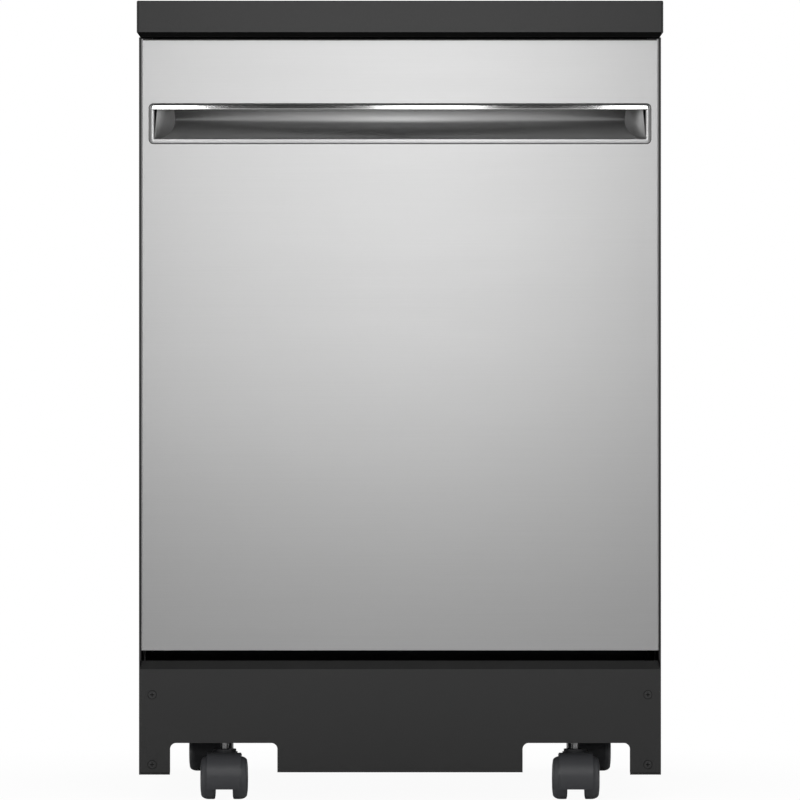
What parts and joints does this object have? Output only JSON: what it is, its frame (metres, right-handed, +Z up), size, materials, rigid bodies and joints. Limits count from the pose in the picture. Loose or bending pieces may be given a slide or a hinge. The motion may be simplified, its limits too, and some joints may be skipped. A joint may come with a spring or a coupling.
{
  "type": "portable dishwasher",
  "caption": "Portable dishwasher on twin-wheel casters with a drop-down brushed steel door, recessed handle, dark worktop and two sliding racks.",
  "frame": {"origin": "on the floor, under the middle of the worktop", "axes": "+Z up, -Y towards the user (door side), +X to the user's right"},
  "size_m": [0.61, 0.648, 0.927],
  "materials": {
    "worktop": "charcoal laminate",
    "cabinet_steel": "satin black",
    "back_steel": "satin",
    "frame_steel": "satin",
    "toe_steel": "satin black",
    "screw": "black oxide",
    "zinc_steel": "zinc plated",
    "stainless": "horizontal brushed",
    "trim": "polished",
    "pocket_steel": "satin",
    "tub_plastic": "grey",
    "liner_plastic": "light grey",
    "dark_plastic": "dark grey",
    "grey_plastic": "mid grey",
    "white_plastic": "natural white",
    "caster_plastic": "charcoal nylon",
    "wheel_plastic": "charcoal nylon",
    "seal_rubber": "black",
    "heater_metal": "sheathed element",
    "nylon_wire": "nylon-coated wire",
    "board": "solder mask",
    "lens": "clear",
    "button_plastic": "grey",
    "brass": "plain",
    "cast": "rough"
  },
  "bodies": {
    "cabinet": {"worktop": "worktop", "left_side_panel": "cabinet_steel", "right_side_panel": "cabinet_steel", "back_panel": "back_steel", "base_frame": "frame_steel", "toe_panel": "toe_steel", "toe_panel_screws": "screw", "caster_stems": "zinc_steel", "tub": "tub_plastic", "tub_gasket": "seal_rubber", "sump": "dark_plastic", "filter_plate": "stainless", "wash_pump": "dark_plastic", "drain_pump": "dark_plastic", "inlet_valve": "white_plastic", "inner_hoses": "seal_rubber", "heating_element": "heater_metal", "water_conduit": "grey_plastic", "upper_rack_rails": "zinc_steel", "door_strike": "zinc_steel", "hinge_brackets": "zinc_steel", "junction_box": "zinc_steel", "rear_glands": "seal_rubber", "counterweight": "cast"},
    "door": {"door_panel": "stainless", "handle_trim": "trim", "handle_pocket": "pocket_steel", "door_liner": "liner_plastic", "control_console": "dark_plastic", "control_board": "board", "indicator_lens": "lens", "latch_housing": "white_plastic", "dispenser_body": "grey_plastic", "door_vent": "grey_plastic", "hinge_arms": "zinc_steel", "hinge_springs": "zinc_steel"},
    "latch_hook": {"latch_hook": "brass"},
    "detergent_cover": {"detergent_cover": "grey_plastic"},
    "rinse_aid_cap": {"rinse_aid_cap": "dark_plastic"},
    "start_button": {"start_button": "button_plastic"},
    "cycle_button": {"cycle_button": "button_plastic"},
    "sanitize_button": {"sanitize_button": "button_plastic"},
    "heated_dry_button": {"heated_dry_button": "button_plastic"},
    "fine_filter": {"fine_filter": "grey_plastic"},
    "float": {"float": "grey_plastic"},
    "lower_spray_arm": {"lower_spray_arm": "grey_plastic"},
    "wash_impeller": {"wash_impeller": "white_plastic"},
    "drain_impeller": {"drain_impeller": "white_plastic"},
    "upper_rack": {"upper_rack": "nylon_wire"},
    "middle_spray_arm": {"middle_spray_arm": "grey_plastic"},
    "lower_rack": {"lower_rack": "nylon_wire", "cutlery_basket": "grey_plastic"},
    "caster_front_left": {"caster_hood_front_left": "caster_plastic"},
    "wheels_front_left": {"caster_wheels_front_left": "wheel_plastic"},
    "caster_front_right": {"caster_hood_front_right": "caster_plastic"},
    "wheels_front_right": {"caster_wheels_front_right": "wheel_plastic"},
    "caster_back_left": {"caster_hood_back_left": "caster_plastic"},
    "wheels_back_left": {"caster_wheels_back_left": "wheel_plastic"},
    "caster_back_right": {"caster_hood_back_right": "caster_plastic"},
    "wheels_back_right": {"caster_wheels_back_right": "wheel_plastic"}
  },
  "joints": [
    {"name": "door_hinge", "type": "hinge", "parent": "cabinet", "child": "door", "pos_m": [0, -0.268, 0.205], "axis": [1, 0, 0], "range_deg": [0, 90], "stiffness_Nm_per_rad": 20, "springref_deg": -8.59},
    {"name": "latch_pivot", "type": "hinge", "parent": "door", "child": "latch_hook", "pos_m": [0, -0.291, 0.8625], "axis": [1, 0, 0], "range_deg": [0, 6], "stiffness_Nm_per_rad": 0.05, "springref_deg": -17.19},
    {"name": "detergent_cover_slide", "type": "slide", "parent": "door", "child": "detergent_cover", "axis": [0, 0, 1], "range_m": [0, 0.058]},
    {"name": "rinse_aid_cap_twist", "type": "hinge", "parent": "door", "child": "rinse_aid_cap", "pos_m": [0.038, -0.275, 0.48085], "axis": [0, 1, 0], "range_deg": [0, 90]},
    {"name": "start_button_press", "type": "slide", "parent": "door", "child": "start_button", "axis": [0, 0, -1], "range_m": [0, 0.001], "stiffness_N_per_m": 300, "springref_m": -0.0006},
    {"name": "cycle_button_press", "type": "slide", "parent": "door", "child": "cycle_button", "axis": [0, 0, -1], "range_m": [0, 0.001], "stiffness_N_per_m": 300, "springref_m": -0.0006},
    {"name": "sanitize_button_press", "type": "slide", "parent": "door", "child": "sanitize_button", "axis": [0, 0, -1], "range_m": [0, 0.001], "stiffness_N_per_m": 300, "springref_m": -0.0006},
    {"name": "heated_dry_button_press", "type": "slide", "parent": "door", "child": "heated_dry_button", "axis": [0, 0, -1], "range_m": [0, 0.001], "stiffness_N_per_m": 300, "springref_m": -0.0006},
    {"name": "fine_filter_twist", "type": "hinge", "parent": "cabinet", "child": "fine_filter", "pos_m": [0.045, 0.05, 0.222], "axis": [0, 0, 1], "range_deg": [0, 90]},
    {"name": "float_rise", "type": "slide", "parent": "cabinet", "child": "float", "axis": [0, 0, 1], "range_m": [0, 0.01]},
    {"name": "lower_arm_spin", "type": "hinge", "parent": "cabinet", "child": "lower_spray_arm", "pos_m": [0, 0.02, 0.245], "axis": [0, 0, 1], "continuous": true},
    {"name": "wash_impeller_spin", "type": "hinge", "parent": "cabinet", "child": "wash_impeller", "pos_m": [-0.12, 0.02, 0.1575], "axis": [1, 0, 0], "continuous": true},
    {"name": "drain_impeller_spin", "type": "hinge", "parent": "cabinet", "child": "drain_impeller", "pos_m": [0.12, 0.02, 0.1575], "axis": [1, 0, 0], "continuous": true},
    {"name": "upper_rack_slide", "type": "slide", "parent": "cabinet", "child": "upper_rack", "axis": [0, -1, 0], "range_m": [0, 0.4]},
    {"name": "middle_arm_spin", "type": "hinge", "parent": "upper_rack", "child": "middle_spray_arm", "pos_m": [0, 0, 0.545], "axis": [0, 0, 1], "continuous": true},
    {"name": "lower_rack_slide", "type": "slide", "parent": "cabinet", "child": "lower_rack", "axis": [0, -1, 0], "range_m": [0, 0.18]},
    {"name": "swivel_front_left", "type": "hinge", "parent": "cabinet", "child": "caster_front_left", "pos_m": [-0.2046, -0.27, 0.05], "axis": [0, 0, 1], "continuous": true},
    {"name": "wheel_spin_front_left", "type": "hinge", "parent": "caster_front_left", "child": "wheels_front_left", "pos_m": [-0.2046, -0.288, 0.025], "axis": [1, 0, 0], "continuous": true},
    {"name": "swivel_front_right", "type": "hinge", "parent": "cabinet", "child": "caster_front_right", "pos_m": [0.2046, -0.27, 0.05], "axis": [0, 0, 1], "continuous": true},
    {"name": "wheel_spin_front_right", "type": "hinge", "parent": "caster_front_right", "child": "wheels_front_right", "pos_m": [0.2046, -0.288, 0.025], "axis": [1, 0, 0], "continuous": true},
    {"name": "swivel_back_left", "type": "hinge", "parent": "cabinet", "child": "caster_back_left", "pos_m": [-0.2364, 0.246, 0.05], "axis": [0, 0, 1], "continuous": true},
    {"name": "wheel_spin_back_left", "type": "hinge", "parent": "caster_back_left", "child": "wheels_back_left", "pos_m": [-0.2364, 0.228, 0.025], "axis": [1, 0, 0], "continuous": true},
    {"name": "swivel_back_right", "type": "hinge", "parent": "cabinet", "child": "caster_back_right", "pos_m": [0.2364, 0.246, 0.05], "axis": [0, 0, 1], "continuous": true},
    {"name": "wheel_spin_back_right", "type": "hinge", "parent": "caster_back_right", "child": "wheels_back_right", "pos_m": [0.2364, 0.228, 0.025], "axis": [1, 0, 0], "continuous": true}
  ],
  "couplings": [
    {"joint": "upper_rack_slide", "follows": "door_hinge", "m_per_rad": 0.2546},
    {"joint": "lower_rack_slide", "follows": "door_hinge", "m_per_rad": 0.1145}
  ]
}
